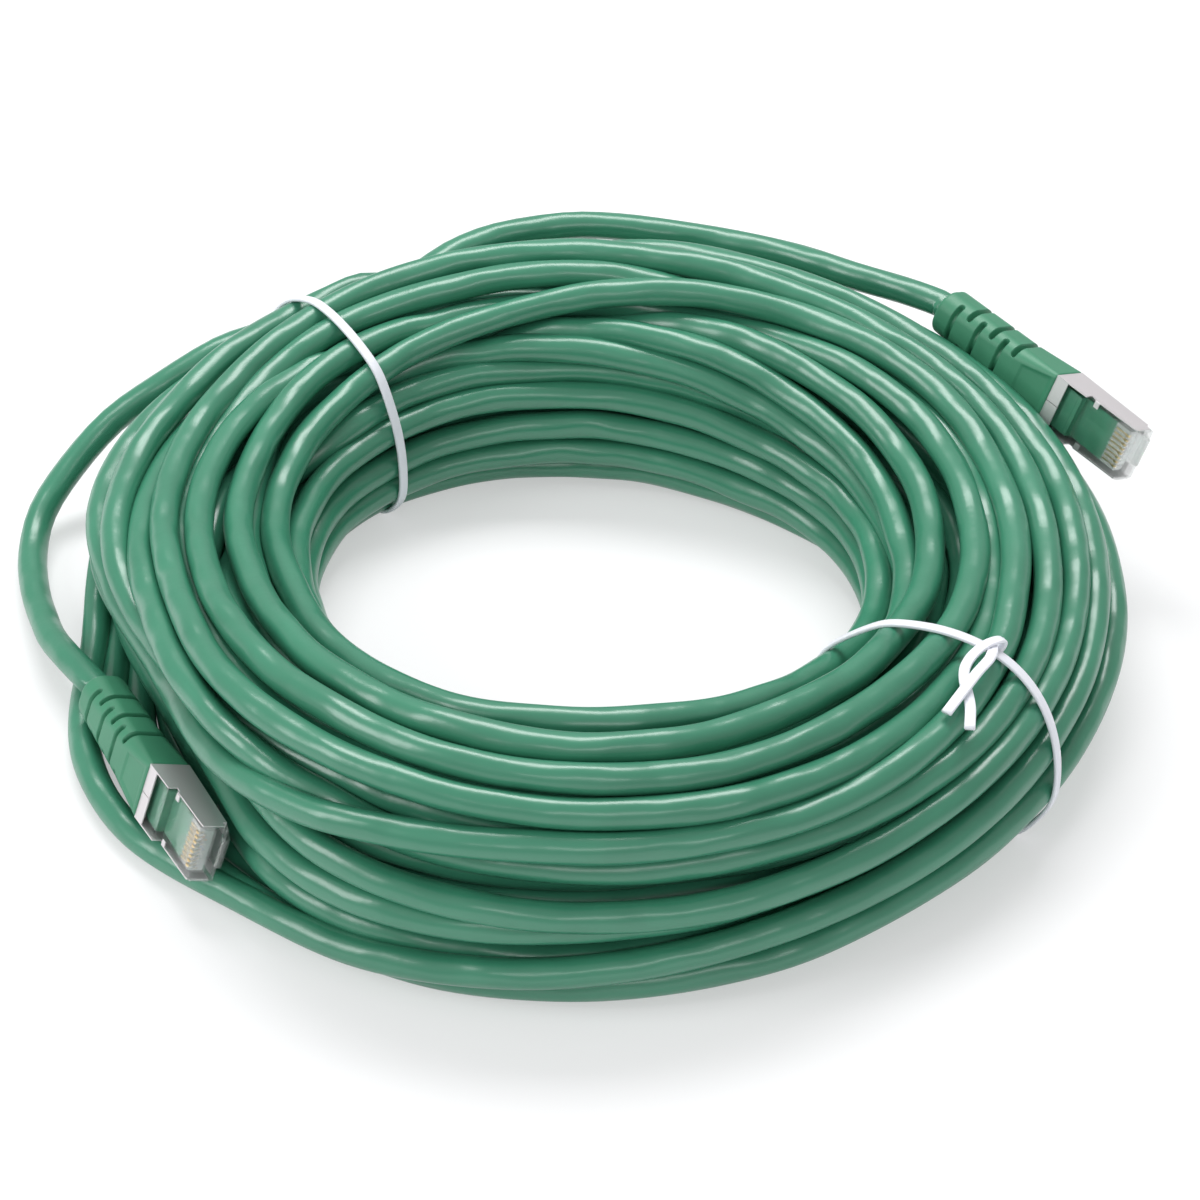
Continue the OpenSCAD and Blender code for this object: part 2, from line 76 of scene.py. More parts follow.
def cable_size(bearing):
    """inner and outer radius and height of the wound bundle at a bearing, each a mean and a few waves"""
    a = np.radians(bearing)
    inner = 55.7 - 1.7 * np.cos(2 * a) - 0.9 * np.sin(2 * a) + 1.7 * np.cos(3 * a) + 2.9 * np.sin(3 * a)
    outer = 102 + 2.6 * np.cos(2 * a) - 1.2 * np.sin(2 * a) + 1.8 * np.cos(3 * a) + 2 * np.sin(3 * a)
    height = 42.5 - 0.3 * np.cos(a) - 6.2 * np.cos(2 * a) + 2.5 * np.sin(2 * a)
    return inner, outer, height


LOAF_POINTS = 181
LOAF_FROM, LOAF_TO = -85, 265       # degrees round the section, from its outer to its inner foot
WIDEST = int((LOAF_POINTS - 1) * -LOAF_FROM / (LOAF_TO - LOAF_FROM))    # the point at the outer waist
WAIST = 0.35                        # height of the waist, as a share of the bundle's
ROUND_TOP, BOXY_FOOT = 2.3, 5       # powers of the curve above and below the waist


def loaf(bearing, inset):
    """outline of the bundle's section, from the outer foot over the top to the inner foot"""
    inner, outer, height = cable_size(bearing)
    t = np.radians(np.linspace(LOAF_FROM, LOAF_TO, LOAF_POINTS))
    c, s = np.cos(t), np.sin(t)
    power = 2 / np.where(s > 0, ROUND_TOP, BOXY_FOOT)
    waist = WAIST * height
    r = (inner + outer) / 2 + ((outer - inner) / 2 - inset) * np.sign(c) * np.abs(c) ** power
    z = waist + np.where(s > 0, height - waist - inset, waist - inset) * np.sign(s) * np.abs(s) ** power
    return r, z


SHELF_BEARING = 204.4               # where plug A lies against the coil
SHELF_REACH = 84.2                  # how far out the flat is that the plug lies against
SHELF_LEAN = 0.4                    # how much it leans out per millimetre of height
LEAN_FROM, LEAN_TO = 16, 26         # heights between which it leans
SHELF_FOOT = 5                      # below this height the turns run on under the plug
SHELF_INSET = 1.08                  # an inset from the flat is longer when it is measured along the radius
SHELF_SPAN = 0.5                    # cosine of the 60 degrees to each side that the flat can reach
FAR_OUT = 400                       # past the whole bundle


def shelf(bearing, z):
    """how far out the bundle reaches where plug A lies against it"""
    away = np.cos(np.radians(bearing - SHELF_BEARING))
    flat = SHELF_REACH + SHELF_LEAN * (np.clip(z, LEAN_FROM, LEAN_TO) - LEAN_FROM)
    beside = (away > SHELF_SPAN) & (z > SHELF_FOOT)
    return np.where(beside, flat / np.maximum(away, SHELF_SPAN), FAR_OUT)


def outline(bearing, inset):
    """the section's outline with the shelf cut out of it"""
    r, z = loaf(bearing, inset)
    return np.minimum(r, shelf(bearing, z) - inset * SHELF_INSET), z


def run(r, z):
    """how far along an outline each of its points is"""
    return np.concatenate([[0], np.cumsum(np.hypot(np.diff(r), np.diff(z)))])


def place(bearing, round_mm, depth=TOUCH):
    """a point round_mm from the widest point of the full section, measured up over the top"""
    r, z = loaf(bearing, 0)
    length = run(r, z)
    top = np.argmax(z)
    length -= length[WIDEST]
    cut_r, cut_z = outline(bearing, depth)
    if 0 < round_mm < length[top]:
        cut = run(cut_r, cut_z)
        at = cut[WIDEST] + round_mm / length[top] * (cut[top] - cut[WIDEST])
        return np.interp(at, cut, cut_r), np.interp(at, cut, cut_z)
    index = np.interp(round_mm, length, np.arange(len(r)))
    return np.interp(index, np.arange(len(r)), cut_r), np.interp(index, np.arange(len(r)), cut_z)


# Marks listed for the turns that can be seen: the bearing, which counts on
# past 360 where a turn comes round, millimetres round the section from its
# widest point, and the depth where other turns cover it.
seen_turns = {
    -1: [(125, 31.5), (140, 32.7), (150, 30.5), (165, 28), (180, 25)],
    0: [(225, 16, 8), (240, 14.5, 3), (255, 10.8), (270, 9.5), (285, 9), (300, 11.5), (315, 16.5),
        (335, 20), (345, 23.5), (365, 27), (385, 31.5), (405, 36.5), (425, 40), (450, 38, 4),
        (480, 35, 7), (510, 34, 7.5), (540, 32.5, 4.5)],
    1: [(210, 29.5), (225, 27.5, 3), (240, 26, 7.5), (255, 22, 9), (270, 19, 7), (285, 18.5, 6),
        (300, 19.5, 4), (315, 22.5), (335, 26.5), (355, 31.7), (375, 35), (395, 40), (405, 43),
        (415, 45.5), (425, 46), (445, 44.5), (465, 42), (485, 38.5), (510, 37.5), (535, 37.3)],
    2: [(210, 37.3), (225, 36.5), (245, 34), (265, 31), (285, 29.7), (300, 30.2), (315, 33, 4.5),
        (325, 35.5, 5), (345, 41.8, 3.7), (365, 45), (385, 48, 3), (400, 51.5, 7), (415, 52, 9),
        (430, 51.6, 7), (445, 51.6, 3), (460, 51.7), (480, 49), (500, 44), (525, 42.3, 4.2)],
    3: [(210, 41.5, 5), (225, 40, 7), (250, 37, 8), (280, 34.5, 7.5), (300, 35, 8), (315, 37, 9),
        (345, 44, 9), (370, 48, 9), (395, 51, 11), (420, 53, 13), (450, 53, 10), (480, 52.5, 7),
        (492, 52, 5), (510, 50, 2.6), (525, 48.7)],
    4: [(210, 46.5), (225, 44.8), (245, 41.2), (265, 37.3), (285, 36.5), (305, 39.5), (325, 43.5),
        (345, 47.5), (365, 51.2), (385, 53.5), (405, 56), (415, 57.2, 6.5), (435, 58, 9),
        (455, 58, 8), (470, 56.3, 7), (485, 55.2, 3.5), (525, 55.5), (540, 55)],
    5: [(210, 54.5), (225, 54), (245, 49.5), (265, 44), (275, 43.5), (285, 44.5), (305, 48),
        (325, 53.5), (345, 57), (370, 59), (390, 60.3), (420, 61.7), (430, 62.2, 4.5),
        (445, 63, 8), (470, 63, 9), (520, 62, 9)],
    6: [(320, 60, 8.5), (345, 63, 5), (360, 66, 3.2), (380, 68), (405, 68), (435, 67),
        (447, 66, 3.7), (457, 65, 6), (475, 66, 8.5), (520, 66, 8.5)],
    7: [(335, 69, 7), (360, 72, 4.5), (385, 73, 3.2), (405, 73.3), (435, 72.7), (450, 71.3),
        (465, 68.3, 3.7), (480, 67, 6), (500, 67, 8.3)],
    8: [(385, 76.5, 6), (405, 77, 5.5), (435, 76.7, 5), (450, 75.5, 4.5), (465, 73, 4),
        (480, 69.8, 3.5), (495, 68, 4.5), (510, 67.5, 8)],
    23: [(240, 7), (255, 5.5), (270, 4, 5), (300, 6, 8), (330, 12, 8), (365, 20, 9), (405, 27, 9),
         (460, 19, 4), (500, 19.5), (530, 17)],
    24: [(213, 17), (225, 19.3), (235, 22), (250, 24.5), (262, 25), (280, 23.9), (295, 24),
         (315, 27.3), (325, 29.2), (335, 33), (345, 35.4), (365, 39), (385, 43), (395, 45.8),
         (405, 48.2), (415, 51), (425, 54), (445, 58), (465, 60.5), (485, 61.5), (510, 63),
         (535, 64.3)],
    25: [(210, 66), (225, 69), (245, 66), (275, 60), (300, 63), (330, 71), (350, 74), (380, 77),
         (405, 82), (435, 82.5), (450, 81.5), (465, 79), (480, 76.5), (495, 74), (515, 72.5)],
    26: [(245, 74), (275, 70), (330, 78), (360, 82), (385, 84), (405, 88.5), (435, 90),
         (450, 89.5), (480, 85.5), (510, 80), (530, 78.8)],
    27: [(245, 82), (300, 84), (360, 90), (405, 96), (435, 97.5), (465, 95), (495, 89.5),
         (530, 85.5)],
    37: [(240, -12), (255, -12), (270, -11.5), (285, -8.5), (300, -5), (315, -2), (325, 1),
         (345, 6), (380, 14), (405, 16), (450, 15), (500, 5), (530, -3)],
    38: [(240, -7), (255, -5.5), (270, -4.5), (285, -0.5), (300, 2.5), (315, 7),
         (325, 10), (345, 17), (365, 22), (385, 25), (420, 25), (460, 24, 3), (478, 22, 3)]}


def ring_of_places(inset, count, first):
    """places evenly round the section at an inset, backwards from a share of the way round"""
    r, z = outline(SLOT_BEARING, inset)
    r, z = np.append(r, r[0]), np.append(z, z[0])
    length = run(r, z)
    at = (first - np.arange(1, count + 1) / count) % 1 * length[-1]
    return list(zip(np.interp(at, length, r), np.interp(at, length, z)))


# the places of the turns in the section at the slot bearing, as radius and height
over_the_top = [(84, 25.5), (83.3, 32), (77.6, 35.8), (73.5, 32.5), (70.8, 37.2), (64, 35.5)]
second_layer = ring_of_places(8.2, 12, 0.6033)
core = ring_of_places(13.4, 5, 0.5)
outer_face = [(84, 11.5), (83.5, 18)]
inner_face = [(55.8, 30.5)] + [place(SLOT_BEARING, mm) for mm in (72, 78.5, 85, 92)]
floor_row = [(r, FLOOR_ROW) for r in (59.5, 65.5, 71.5, 77.3)] + [(82.6, 7.6), (83.4, FLOOR_ROW)]
past_the_shelf = [(r, FLOOR_ROW) for r in (89.3, 95.1, 100.9)]
places = over_the_top + second_layer + core + outer_face + inner_face + floor_row + past_the_shelf
open_slots = (0, 1, 2, 3, 4, 5, 24, 25, 37, 38)     # the places that can be seen


def sides(bearing, z):
    """inner and outer reach of the section at a height, and its top"""
    r, zz = outline(bearing, TOUCH)
    top = np.argmax(zz)
    z = np.clip(z, FLOOR_ROW, zz[top])
    inner = np.interp(z, zz[top:][::-1], r[top:][::-1])
    outer = np.interp(z, zz[:top + 1], r[:top + 1])
    return inner, outer, zz[top]


LEAST_WIDTH = 4             # millimetres, for the narrow top of the section


def to_share(bearing, r, z):
    """a place as its share of the section's width and of its height"""
    inner, outer, top = sides(bearing, z)
    return (r - inner) / max(outer - inner, LEAST_WIDTH), z / top


def from_share(bearing, x, y):
    """the place at a share of the section's width and of its height"""
    top = sides(bearing, 0)[2]
    inner, outer, _ = sides(bearing, y * top)
    return inner + x * max(outer - inner, LEAST_WIDTH), y * top


def bearings_of(points):
    """bearing, radius and height of points in space"""
    x, y, z = points.T
    return np.degrees(np.arctan2(y, x)) % 360, np.hypot(x, y), z


# How hard a mark holds its turn: up to each depth, at a place that can be seen
# or not, on a lead, and where the marks are too far apart to say much.
HOLD_TO_DEPTH = ((3.6, 0.5), (5.6, 0.2), (99, 0.06))
HOLD_OPEN, HOLD_COVERED = 0.4, 0.05
HOLD_LEAD = 1
HOLD_LOOSE = 0.03
FAR_APART = 62              # degrees between two marks


def hold_of(depth=TOUCH):
    """how hard a mark at a depth holds its turn"""
    return next(hold for deepest, hold in HOLD_TO_DEPTH if depth < deepest)


def slot_mark(at, turn):
    """the mark for a turn's place at the slot bearing"""
    hold = HOLD_OPEN if turn in open_slots else HOLD_COVERED
    return (at, *to_share(SLOT_BEARING, *places[turn]), hold)


def lead_marks(lead, laps):
    """the marks for a lead that stays on its route"""
    return [(b + 360 * laps, *to_share(b, r, z), HOLD_LEAD) for b, r, z in zip(*bearings_of(lead))]


# Each station of the cable has a wish, where its marks put it as radius and
# height, and a pull, how hard it is held there.
FIRST_BEARING = 45
LAST_BEARING = 190 + 360 * TURNS
bearing = np.arange(FIRST_BEARING, LAST_BEARING + 1, STATION_STEP, dtype=float)
count = len(bearing)
wish = np.zeros((count, 2))
pull = np.zeros(count)
for turn in range(-1, TURNS):
    marks = []
    for mark in seen_turns.get(turn, []):
        marks.append((mark[0], *to_share(mark[0], *place(*mark)), hold_of(*mark[2:])))
    marks += [slot_mark(SLOT_BEARING, turn)] if turn >= 0 else lead_marks(lead_b, 0)
    next_slot = SLOT_BEARING + (360 if turn >= 0 else 0)
    marks += [slot_mark(next_slot, turn + 1)] if turn < TURNS - 1 else lead_marks(lead_a, 1)
    marks = np.array(sorted(marks))
    start = 360 * max(turn, 0)
    low = start + SLOT_BEARING if turn >= 0 else FIRST_BEARING
    high = start + next_slot if turn < TURNS - 1 else LAST_BEARING + 1
    for i in np.flatnonzero((bearing >= low) & (bearing < high)):
        b = bearing[i] - start
        x = np.interp(b, marks[:, 0], marks[:, 1])
        y = np.interp(b, marks[:, 0], marks[:, 2])
        wish[i] = from_share(b % 360, x, y)
        k = np.searchsorted(marks[:, 0], b)
        before, after = marks[max(k - 1, 0)], marks[min(k, len(marks) - 1)]
        pull[i] = min(before[3], after[3]) if after[0] - before[0] < FAR_APART else HOLD_LOOSE

# The leads stay on their routes. All the other turns settle: each keeps its
# bend even, moves off the turns it touches, and stays inside the section.
FREE_FROM, FREE_TO = 105, 135 + 360 * TURNS     # bearings between which the cable can settle
SHAKE = 0.25                                    # how far off its wish a station starts, in millimetres
EVEN_LINE, EVEN_PULL = 2, 3                     # stations over which the line and the pull are evened out
fixed = (bearing <= FREE_FROM) | (bearing >= FREE_TO)
shake = np.random.default_rng(7)
line = wish + np.where(fixed[:, None], 0, shake.normal(0, SHAKE, (count, 2)))


def spread(moves, stations):
    """the same moves, shared out along the cable, which is too stiff to kink"""
    half = int(np.ceil(3 * stations))
    kernel = np.exp(-0.5 * (np.arange(-half, half + 1) / stations) ** 2)
    kernel /= kernel.sum()
    padded = np.pad(moves, ((half, half), (0, 0)), mode="edge")
    return np.stack([np.convolve(column, kernel, "valid") for column in padded.T], 1)


free = ~fixed
wish[free] = spread(wish, EVEN_LINE)[free]
pull = spread(pull[:, None], EVEN_PULL)[:, 0]
line[free] = spread(line, EVEN_LINE)[free]

# how far in, out and up a centre may lie, at each station and height
TOP_LEVEL, LEVELS = 48, 60
ROOM_ABOVE = 2
heights = np.linspace(FLOOR_ROW, TOP_LEVEL, LEVELS)
reach = [sides((FIRST_BEARING + STATION_STEP * i) % 360, heights) for i in range(STATIONS)]
reach_in = np.array([q[0] for q in reach])
reach_out = np.array([q[1] for q in reach])
reach_up = np.array([q[2] for q in reach]) + ROOM_ABOVE
station = np.arange(count) % STATIONS

# the last turns run on the floor past the plug that lies against the coil
FLOOR_TURNS = 3
PLUG_SPAN = 36                                  # degrees to each side of the plug
LANE_IN, LANE_OUT, LANE_UP = 87, 103.5, 0.2     # their lane there
lap = np.round((bearing - SHELF_BEARING) / 360)
off_plug = np.abs(bearing - SHELF_BEARING - 360 * lap)
under_plug = (lap >= TURNS - FLOOR_TURNS) & (off_plug < PLUG_SPAN)


def keep_inside(line):
    """the line with every centre back inside the section, or in its lane under the plug"""
    z = np.clip(line[:, 1], FLOOR_ROW, np.where(under_plug, FLOOR_ROW + LANE_UP, reach_up[station]))
    at = np.clip((z - FLOOR_ROW) / (heights[1] - heights[0]), 0, LEVELS - 1.001)
    level, share = at.astype(int), at % 1
    inner = reach_in[station, level] * (1 - share) + reach_in[station, level + 1] * share
    outer = reach_out[station, level] * (1 - share) + reach_out[station, level + 1] * share
    inner = np.where(under_plug, LANE_IN, inner)
    outer = np.where(under_plug, LANE_OUT, outer)
    return np.stack([np.clip(line[:, 0], inner, outer), z], 1)


# One row of stations for each lap, so that turns side by side share a column.
# The spare places in the last row stand far off, and a turn counts as far from itself.
rows = -(-count // STATIONS)
spare = rows * STATIONS - count
far_off = 1e4 + 100 * np.arange(spare)[:, None] * np.ones(2)
own = np.eye(rows)[:, :, None] * 1e3

# A turn that can be seen gives way less than a hidden one, is on a shorter leash
# from its wish, and may press a little harder on others that can be seen.
SEEN = 0.15                                     # pull from which a turn counts as seen
GIVE_SEEN, GIVE_HIDDEN, GIVE_FIXED = 0.15, 1, 0.01
GAP_SEEN, GAP_HIDDEN = 5.3, 5.7                 # between the centres of two turns that touch
LEASH = ((0.05, 0.2, 0.5), (40, 3, 1.8))        # pulls, and millimetres at each
leash = np.interp(pull, *LEASH)
gives = np.concatenate([np.where(pull > SEEN, GIVE_SEEN, GIVE_HIDDEN), np.ones(spare)])
gives[:count][fixed] = GIVE_FIXED
gives = gives.reshape(rows, STATIONS)
shares = 2 * gives[:, None] / (gives[:, None] + gives[None])
both_seen = (gives[:, None] < GIVE_HIDDEN) & (gives[None] < GIVE_HIDDEN)
gap = np.where(both_seen, GAP_SEEN, GAP_HIDDEN)


def pushes(line):
    """how far each turn is pushed by the turns that it touches"""
    turns = np.concatenate([line, far_off]).reshape(rows, STATIONS, 2)
    apart = turns[:, None] - turns[None]
    distance = np.sqrt((apart ** 2).sum(-1)) + own
    push = np.clip(gap - distance, 0, None) / np.maximum(distance, 1e-6) * shares
    return (apart * push[..., None]).sum(1).reshape(-1, 2)[:count]


def settle(line, rounds, stations, hold, push):
    """the line after some rounds of pushing and holding, with each move shared by some stations"""
    for _ in range(rounds):
        moves = push * pushes(line) + hold * pull[:, None] * (wish - line)
        moves += keep_inside(line + moves) - (line + moves)
        moves[fixed] = 0
        line = line + spread(moves, stations) * np.where(fixed, 0, 1)[:, None]
        strayed = np.linalg.norm(line - wish, axis=1)
        line = wish + (line - wish) * np.minimum(1, leash / np.maximum(strayed, 1e-6))[:, None]
        line[:, 1] = np.maximum(line[:, 1], FLOOR_ROW)
        line[fixed] = wish[fixed]
    return line


# rounds, stations that share a move, how hard the marks hold, share of a push taken at once
for stage in ((150, 4, 1, 0.5), (150, 3, 1, 0.5), (150, 2, 0.6, 0.5), (60, 1.5, 0.3, 0.4)):
    line = settle(line, *stage)

# the turns that can be seen are stiff: what is left of small wriggles goes
STIFF_SEEN, STIFF_HIDDEN = 2.5, 1
strayed = line - wish
line = wish + np.where(pull[:, None] > SEEN, spread(strayed, STIFF_SEEN), spread(strayed, STIFF_HIDDEN))
line[:, 1] = np.maximum(line[:, 1], FLOOR_ROW)
line[fixed] = wish[fixed]


def in_space(bearing, r, z):
    """points in space from their bearing, radius and height"""
    a = np.radians(bearing)
    return np.stack([r * np.cos(a), r * np.sin(a), z], -1)


def smooth_run(points, steps):
    """a soft curve through the points, with steps between each two"""
    p = np.concatenate([[2 * points[0] - points[1]], points, [2 * points[-1] - points[-2]]])
    a, b, c, d = p[:-3, None], p[1:-2, None], p[2:-1, None], p[3:, None]
    t = (np.arange(steps) / steps)[None, :, None]
    bend = (2 * a - 5 * b + 4 * c - d) * t ** 2 + (3 * b - a - 3 * c + d) * t ** 3
    out = 0.5 * (2 * b + (c - a) * t + bend)
    return np.concatenate([out.reshape(-1, points.shape[1]), points[-1:]])


# the leads' own points take over from the coil's where they leave it
WOUND_FROM, WOUND_TO = 117, 130 + 360 * TURNS
LINE_STEPS = 3                  # points of the line from one station to the next
wound = (bearing > WOUND_FROM) & (bearing < WOUND_TO)
middle = in_space(bearing, line[:, 0], line[:, 1])[wound]
cable_line = smooth_run(np.concatenate([lead_b[::-1], middle, lead_a]), LINE_STEPS)

# The four twisted pairs press on the jacket, so it swells and wanders a little,
# but not at its ends in the boots.
SWELL, WANDER = 0.016, 0.13     # a share of the radius, and millimetres
WANDER_POINTS = 2.6             # points of the line that a wave takes
CALM_POINTS = 12                # points from each end over which it dies down
wander = spread(shake.normal(0, 1, (len(cable_line), 4)), WANDER_POINTS)
wander *= np.array([SWELL, WANDER, WANDER, WANDER]) / wander.std(0)
from_end = np.minimum(np.arange(len(wander)), np.arange(len(wander))[::-1])
wander *= np.clip(from_end / CALM_POINTS, 0, 1)[:, None]
cable_line = cable_line + wander[:, 1:]
cable_line[:, 2] = np.maximum(cable_line[:, 2], FLOOR_ROW)


def add_tube(name, points, diameter, swell):
    """a round cord along the points, in millimetres, that swells by these shares"""
    curve = bpy.data.curves.new(name, "CURVE")
    curve.dimensions = "3D"
    curve.bevel_depth = diameter / 2 * MM
    curve.bevel_resolution = 6
    curve.use_fill_caps = True
    spline = curve.splines.new("POLY")
    spline.points.add(len(points) - 1)
    spline.points.foreach_set("co", np.c_[points * MM, np.ones(len(points))].ravel())
    spline.points.foreach_set("radius", swell)
    spline.use_smooth = True
    piece = bpy.data.objects.new(name, curve)
    bpy.context.scene.collection.objects.link(piece)
    return piece


cable = add_tube("cable", cable_line, CABLE_D, 1 + wander[:, 0])


def linear(hex_colour):
    """sRGB hex to the linear colour that a shader takes"""
    parts = [int(hex_colour[i:i + 2], 16) / 255 for i in (1, 3, 5)]
    return [c / 12.92 if c <= 0.04045 else ((c + 0.055) / 1.055) ** 2.4 for c in parts] + [1]


def add(tree, kind, settings={}, links={}):
    """one node with its settings and what feeds it"""
    made = tree.nodes.new("ShaderNode" + kind)
    for name, value in settings.items():
        if isinstance(name, int) or name in made.inputs:
            made.inputs[name].default_value = value
        else:
            setattr(made, name, value)
    for name, source in links.items():
        tree.links.new(source, made.inputs[name])
    return made


def finish_named(name, surface):
    """a material whose Principled shader has these settings; returns it with its tree and shader"""
    material = bpy.data.materials.new(name)
    material.use_nodes = True
    tree = material.node_tree
    tree.nodes.clear()
    shader = add(tree, "BsdfPrincipled", surface)
    add(tree, "OutputMaterial", {}, {"Surface": shader.outputs["BSDF"]})
    return material, tree, shader


def mottle(tree, shader, scale, dark, light):
    """a colour that drifts between two shades; the scale is patches per metre"""
    where = add(tree, "TexCoord")
    patches = add(tree, "TexNoise", {"Scale": scale, "Detail": 3}, {"Vector": where.outputs["Object"]})
    tone = add(tree, "ValToRGB", {}, {"Fac": patches.outputs["Fac"]})
    tone.color_ramp.elements[0].color = linear(dark)
    tone.color_ramp.elements[1].color = linear(light)
    tree.links.new(tone.outputs["Color"], shader.inputs["Base Color"])


def roughen(tree, shader, scale, strength, depth):
    """small marks in the skin; the scale is marks per metre and the depth is in metres"""
    where = add(tree, "TexCoord")
    marks = add(tree, "TexNoise", {"Scale": scale, "Detail": 2}, {"Vector": where.outputs["Object"]})
    relief = add(tree, "Bump", {"Strength": strength, "Distance": depth}, {"Height": marks.outputs["Fac"]})
    tree.links.new(relief.outputs["Normal"], shader.inputs["Normal"])
    return relief


# Extruded PVC: an even skin with a soft shine, uneven in waves of 16 mm where
# the pairs press through, with skin marks of 4 mm.
jacket_pvc, tree, shader = finish_named("extruded_pvc", {
    "Roughness": 0.3, "IOR": 1.53, "Specular IOR Level": 0.7})
mottle(tree, shader, 40, "#33755b", "#3d896c")
skin_marks = roughen(tree, shader, 260, 0.5, 0.00018)
where = add(tree, "TexCoord")
lumps = add(tree, "TexNoise", {"Scale": 62, "Detail": 1}, {"Vector": where.outputs["Object"]})
waves = add(tree, "Bump", {"Strength": 1, "Distance": 0.0026}, {"Height": lumps.outputs["Fac"]})
tree.links.new(waves.outputs["Normal"], skin_marks.inputs["Normal"])
cable.data.materials.append(jacket_pvc)
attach(cable, "cable")
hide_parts("cable_coil", "cable_lead_a", "cable_lead_b")

# ---------------------------------------------------------------- ties
# Two strips of soft white polyethylene, cut from a roll, each once round the
# whole bundle. The right one is knotted on the shoulder of the coil and has
# two square-cut tails; the left one is closed underneath.
TIE_WIDE = 2.0
TIE_THICK = 0.8
TIE_EDGE = 0.22                     # the strip's edges are rounded by this much
RIB_HALF, RIB_UP = 0.35, 1.22       # a low rib along its outer face
TIE_STEPS = 180                     # points along a strip
RIM_POINTS = 48                     # points round each turn that the strip can bear on
TAUT_POINTS = 4000                  # points along the taut line
SPRING_ROUNDS, BEND_ROUNDS = 60, 5  # rounds of smoothing


def section_at(bearing_of_tie):
    """centres of all the turns that pass a bearing"""
    a = np.radians(bearing_of_tie)
    side = cable_line @ [-np.sin(a), np.cos(a), 0]
    i = np.flatnonzero((side[:-1] < 0) != (side[1:] < 0))
    share = (side[i] / (side[i] - side[i + 1]))[:, None]
    met = cable_line[i] + share * (cable_line[i + 1] - cable_line[i])
    out = met @ [np.cos(a), np.sin(a), 0]
    return np.stack([out, met[:, 2]], 1)[out > 0]


def wrap_round(centres, clear, middle):
    """the taut line round the turns, as its reach from the middle in each direction"""
    t = np.linspace(0, 2 * np.pi, RIM_POINTS, endpoint=False)
    circle = (CABLE_D / 2 + clear) * np.stack([np.cos(t), np.sin(t)], 1)
    rim = (centres[:, None] + circle[None]).reshape(-1, 2)
    rim = rim[np.lexsort((rim[:, 1], rim[:, 0]))]

    def half(points):
        """one side of the taut line, through points that are in order across it"""
        chain = []
        for p in points:
            while len(chain) > 1 and np.cross(chain[-1] - chain[-2], p - chain[-2]) <= 0:
                chain.pop()
            chain.append(p)
        return chain[:-1]

    hull = np.array(half(rim) + half(rim[::-1]))
    closed = np.concatenate([hull, hull[:1]])
    length = run(closed[:, 0], closed[:, 1])
    at = np.linspace(0, length[-1], TAUT_POINTS, endpoint=False)
    fine = np.stack([np.interp(at, length, closed[:, 0]), np.interp(at, length, closed[:, 1])], 1) - middle
    angle, far = np.arctan2(fine[:, 1], fine[:, 0]), np.hypot(fine[:, 0], fine[:, 1])
    order = np.argsort(angle)
    reach = np.interp(np.linspace(-np.pi, np.pi, TIE_STEPS, endpoint=False), angle[order], far[order],
                      period=2 * np.pi)
    # the strip is springy: it stands off a little between the turns it bears on,
    # and its bends are round
    loop = reach
    for _ in range(SPRING_ROUNDS):
        loop = np.maximum((np.roll(loop, 1) + loop + np.roll(loop, -1)) / 3, reach)
    for _ in range(BEND_ROUNDS):
        loop = (np.roll(loop, 1) + loop + np.roll(loop, -1)) / 3
    return loop


def add_mesh(name, corners, faces):
    """a smooth-shaded piece from its corners in millimetres"""
    mesh = bpy.data.meshes.new(name)
    mesh.from_pydata((corners * MM).tolist(), [], faces)
    mesh.update()
    mesh.polygons.foreach_set("use_smooth", [True] * len(mesh.polygons))
    piece = bpy.data.objects.new(name, mesh)
    bpy.context.scene.collection.objects.link(piece)
    return piece


def ring_faces(count, size, closed, base=0):
    """the faces between rings of corners that follow each other; closed joins the last to the first"""
    faces = []
    for i in range(count if closed else count - 1):
        here, there = base + i * size, base + (i + 1) % count * size
        faces += [(there + q, there + (q + 1) % size, here + (q + 1) % size, here + q) for q in range(size)]
    return faces


def strip_of(points, facing, closed, base=0):
    """corners and faces of a flat strip along the points; facing is the way its face looks"""
    ahead = np.roll(points, -1, 0) - np.roll(points, 1, 0)
    if not closed:
        ahead[0], ahead[-1] = points[1] - points[0], points[-1] - points[-2]
    ahead /= np.linalg.norm(ahead, axis=1)[:, None]
    facing = facing - (facing * ahead).sum(1)[:, None] * ahead
    facing /= np.linalg.norm(facing, axis=1)[:, None]
    wide = np.cross(ahead, facing)
    w, h, edge = TIE_WIDE / 2, TIE_THICK / 2, TIE_EDGE
    rim = [(w, 0.4 * h), (w - 0.3 * edge, h - 0.3 * edge), (w - edge, h)]
    rim += [(RIB_HALF, h), (0, h * RIB_UP), (-RIB_HALF, h)]
    rim += [(edge - w, h), (0.3 * edge - w, h - 0.3 * edge), (-w, 0.4 * h)]
    rim += [(-w, -0.4 * h), (edge - w, -h), (0, -h), (w - edge, -h), (w, -0.4 * h)]
    across, up = np.array(rim).T
    corners = points[:, None] + across[None, :, None] * wide[:, None] + up[None, :, None] * facing[:, None]
    faces = ring_faces(len(points), len(rim), closed, base)
    if not closed:
        first, last = np.arange(len(rim)) + base, np.arange(len(rim)) + base + (len(points) - 1) * len(rim)
        faces += [tuple(first.tolist()), tuple(last[::-1].tolist())]
    return corners.reshape(-1, 3), faces


# Extruded polyethylene: milky white, a soft shine and faint draw marks of 1.4 mm.
tie_white, tree, shader = finish_named("polyethylene_strip", {
    "Base Color": linear("#e6e8f0"), "Roughness": 0.38, "IOR": 1.51, "Subsurface Weight": 0.25,
    "Subsurface Scale": 0.0012, "Subsurface Radius": (1, 1, 1)})
roughen(tree, shader, 700, 0.2, 0.0001)

